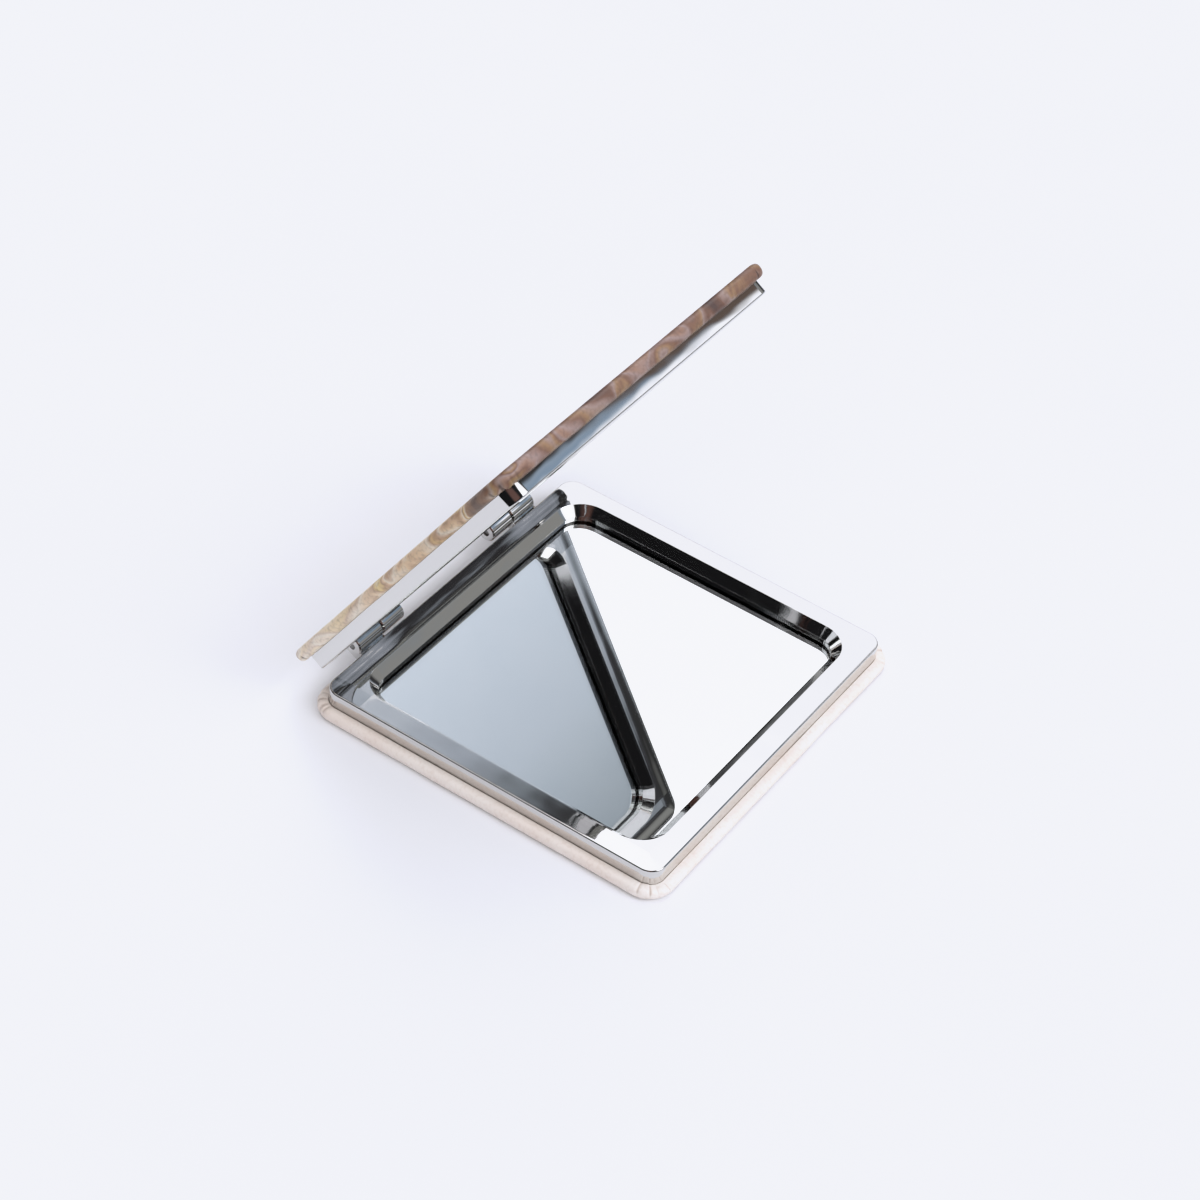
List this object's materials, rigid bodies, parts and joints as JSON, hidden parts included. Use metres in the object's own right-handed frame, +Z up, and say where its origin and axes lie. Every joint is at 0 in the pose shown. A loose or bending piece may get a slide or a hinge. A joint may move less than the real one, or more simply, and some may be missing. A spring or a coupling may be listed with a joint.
{
  "type": "compact mirror",
  "caption": "Hinged pocket mirror: chrome-plated frames hold glass mirrors that face each other when shut, with padded leather covers outside and a stiff barrel hinge.",
  "frame": {"origin": "centre of the base's flat underside, on the table", "axes": "+X along the hinge, -Y towards the opening edge, +Z up"},
  "size_m": [0.0654, 0.0639, 0.0582],
  "materials": {
    "chrome": "polished",
    "mirror": "polished",
    "foam_tape": "matte",
    "board": "matte",
    "padding": "matte",
    "leather_plain": "satin",
    "leather_printed": "satin",
    "magnet": "satin",
    "pin_steel": "satin"
  },
  "bodies": {
    "base": {"base_frame": "chrome", "base_mirror": "mirror", "base_mirror_tape": "foam_tape", "base_board": "board", "base_padding": "padding", "base_leather_cover": "leather_plain", "base_magnet_left": "magnet", "base_magnet_right": "magnet", "hinge_pin_left": "pin_steel", "hinge_pin_right": "pin_steel"},
    "lid": {"lid_frame": "chrome", "lid_mirror": "mirror", "lid_mirror_tape": "foam_tape", "lid_board": "board", "lid_padding": "padding", "lid_leather_cover": "leather_printed", "lid_magnet_left": "magnet", "lid_magnet_right": "magnet"}
  },
  "joints": [
    {"name": "lid_hinge", "type": "hinge", "parent": "base", "child": "lid", "pos_m": [0, 0.0302, 0.00465], "axis": [-1, 0, 0], "range_deg": [-58.5, 121.5]}
  ]
}
